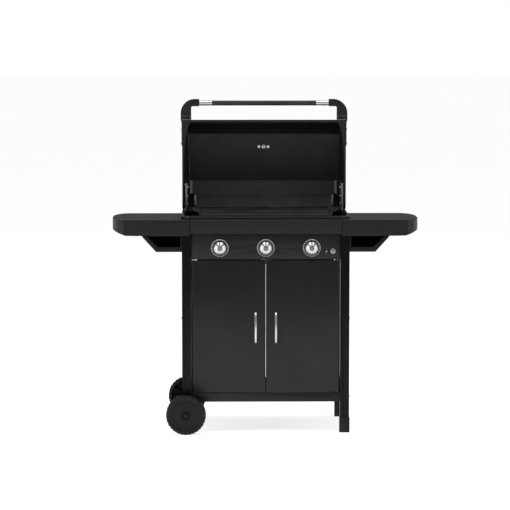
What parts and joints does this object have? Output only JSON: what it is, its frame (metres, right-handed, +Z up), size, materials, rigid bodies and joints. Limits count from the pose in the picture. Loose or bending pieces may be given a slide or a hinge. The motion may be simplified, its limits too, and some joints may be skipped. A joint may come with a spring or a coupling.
{
  "type": "gas barbecue grill",
  "caption": "Wheeled gas barbecue with a hinged hood, side shelves, control knobs, a griddle over burners and a cabinet with hinged doors.",
  "frame": {"origin": "on the floor, under the middle of the grill's overall box with its lid open", "axes": "+X to the grill's right as seen from the front, +Y to its back, +Z up"},
  "size_m": [1.336, 0.634, 1.441],
  "materials": {
    "black_powder_coat": "satin black powder coat on folded steel",
    "black_door_coat": "smoother satin black paint",
    "black_enamel": "vitreous black enamel, heat darkened",
    "black_plastic": "fine moulded grain",
    "wheel_plastic": "moulded, with a worn tread",
    "chrome": "bright chrome plate",
    "steel": "zinc or stainless steel",
    "griddle_iron": "seasoned matt black",
    "brass": "dull machined brass"
  },
  "bodies": {
    "cart": {"post_front_left": "black_powder_coat", "post_rear_left": "black_powder_coat", "post_front_right": "black_powder_coat", "post_rear_right": "black_powder_coat", "foot_front": "black_plastic", "foot_rear": "black_plastic", "bottom_rail_front": "black_powder_coat", "bottom_rail_rear": "black_powder_coat", "base_shelf": "black_powder_coat", "side_panel_left": "black_powder_coat", "side_panel_right": "black_powder_coat", "wheel_axle": "steel", "door_hinge_rod_left": "steel", "door_hinge_rod_right": "steel", "door_catch": "steel", "control_panel": "black_door_coat", "front_apron": "black_powder_coat", "knob_bezel_left": "chrome", "knob_bezel_centre": "chrome", "knob_bezel_right": "chrome", "igniter_housing": "black_plastic", "gas_manifold": "brass", "burner_left": "steel", "burner_centre": "steel", "burner_right": "steel", "firebox": "black_enamel", "griddle_plate": "griddle_iron", "lid_hinge_bracket_left": "steel", "lid_hinge_bracket_right": "steel", "side_shelf_left": "black_powder_coat", "side_shelf_right": "black_powder_coat", "side_shelf_cap_left": "black_plastic", "side_shelf_cap_right": "black_plastic", "side_shelf_bracket_left": "black_powder_coat", "side_shelf_bracket_right": "black_powder_coat"},
    "lid": {"lid_hood": "black_powder_coat", "lid_end_cap_left": "black_powder_coat", "lid_end_cap_right": "black_powder_coat", "lid_liner": "black_enamel", "lid_handle_arm_left": "black_plastic", "lid_handle_arm_right": "black_plastic", "lid_handle_tube": "chrome", "lid_handle_grip": "black_plastic", "lid_thermometer": "chrome", "lid_hinge_arm_left": "steel", "lid_hinge_arm_right": "steel"},
    "door_left": {"door_left": "black_door_coat", "door_handle_left": "chrome"},
    "door_right": {"door_right": "black_door_coat", "door_handle_right": "chrome"},
    "stem_left": {"valve_stem_left": "steel"},
    "knob_left": {"knob_left": "chrome"},
    "stem_centre": {"valve_stem_centre": "steel"},
    "knob_centre": {"knob_centre": "chrome"},
    "stem_right": {"valve_stem_right": "steel"},
    "knob_right": {"knob_right": "chrome"},
    "igniter_button": {"igniter_button": "chrome"},
    "wheel_front": {"wheel_front": "wheel_plastic"},
    "wheel_rear": {"wheel_rear": "wheel_plastic"},
    "grease_tray": {"grease_tray": "steel"}
  },
  "joints": [
    {"name": "lid_hinge", "type": "hinge", "parent": "cart", "child": "lid", "pos_m": [0, 0.164, 0.969], "axis": [1, 0, 0], "range_deg": [0, 90]},
    {"name": "door_left_hinge", "type": "hinge", "parent": "cart", "child": "door_left", "pos_m": [-0.312, -0.23, 0.467], "axis": [0, 0, -1], "range_deg": [0, 95]},
    {"name": "door_right_hinge", "type": "hinge", "parent": "cart", "child": "door_right", "pos_m": [0.312, -0.23, 0.467], "axis": [0, 0, 1], "range_deg": [0, 95]},
    {"name": "valve_left", "type": "hinge", "parent": "cart", "child": "stem_left", "pos_m": [-0.199, -0.23, 0.808], "axis": [0, -1, 0], "range_deg": [0, 180]},
    {"name": "knob_left_push", "type": "slide", "parent": "stem_left", "child": "knob_left", "axis": [0, 1, 0], "range_m": [0, 0.003], "stiffness_N_per_m": 500},
    {"name": "valve_centre", "type": "hinge", "parent": "cart", "child": "stem_centre", "pos_m": [0, -0.23, 0.808], "axis": [0, -1, 0], "range_deg": [0, 180]},
    {"name": "knob_centre_push", "type": "slide", "parent": "stem_centre", "child": "knob_centre", "axis": [0, 1, 0], "range_m": [0, 0.003], "stiffness_N_per_m": 500},
    {"name": "valve_right", "type": "hinge", "parent": "cart", "child": "stem_right", "pos_m": [0.199, -0.23, 0.808], "axis": [0, -1, 0], "range_deg": [0, 180]},
    {"name": "knob_right_push", "type": "slide", "parent": "stem_right", "child": "knob_right", "axis": [0, 1, 0], "range_m": [0, 0.003], "stiffness_N_per_m": 500},
    {"name": "igniter_push", "type": "slide", "parent": "cart", "child": "igniter_button", "axis": [0, 1, 0], "range_m": [0, 0.004], "stiffness_N_per_m": 400},
    {"name": "wheel_front_spin", "type": "hinge", "parent": "cart", "child": "wheel_front", "pos_m": [-0.3465, -0.285, 0.0865], "axis": [0, 1, 0], "continuous": true},
    {"name": "wheel_rear_spin", "type": "hinge", "parent": "cart", "child": "wheel_rear", "pos_m": [-0.3465, 0.285, 0.0865], "axis": [0, 1, 0], "continuous": true},
    {"name": "grease_tray_slide", "type": "slide", "parent": "cart", "child": "grease_tray", "axis": [0, 1, 0], "range_m": [0, 0.25]}
  ]
}
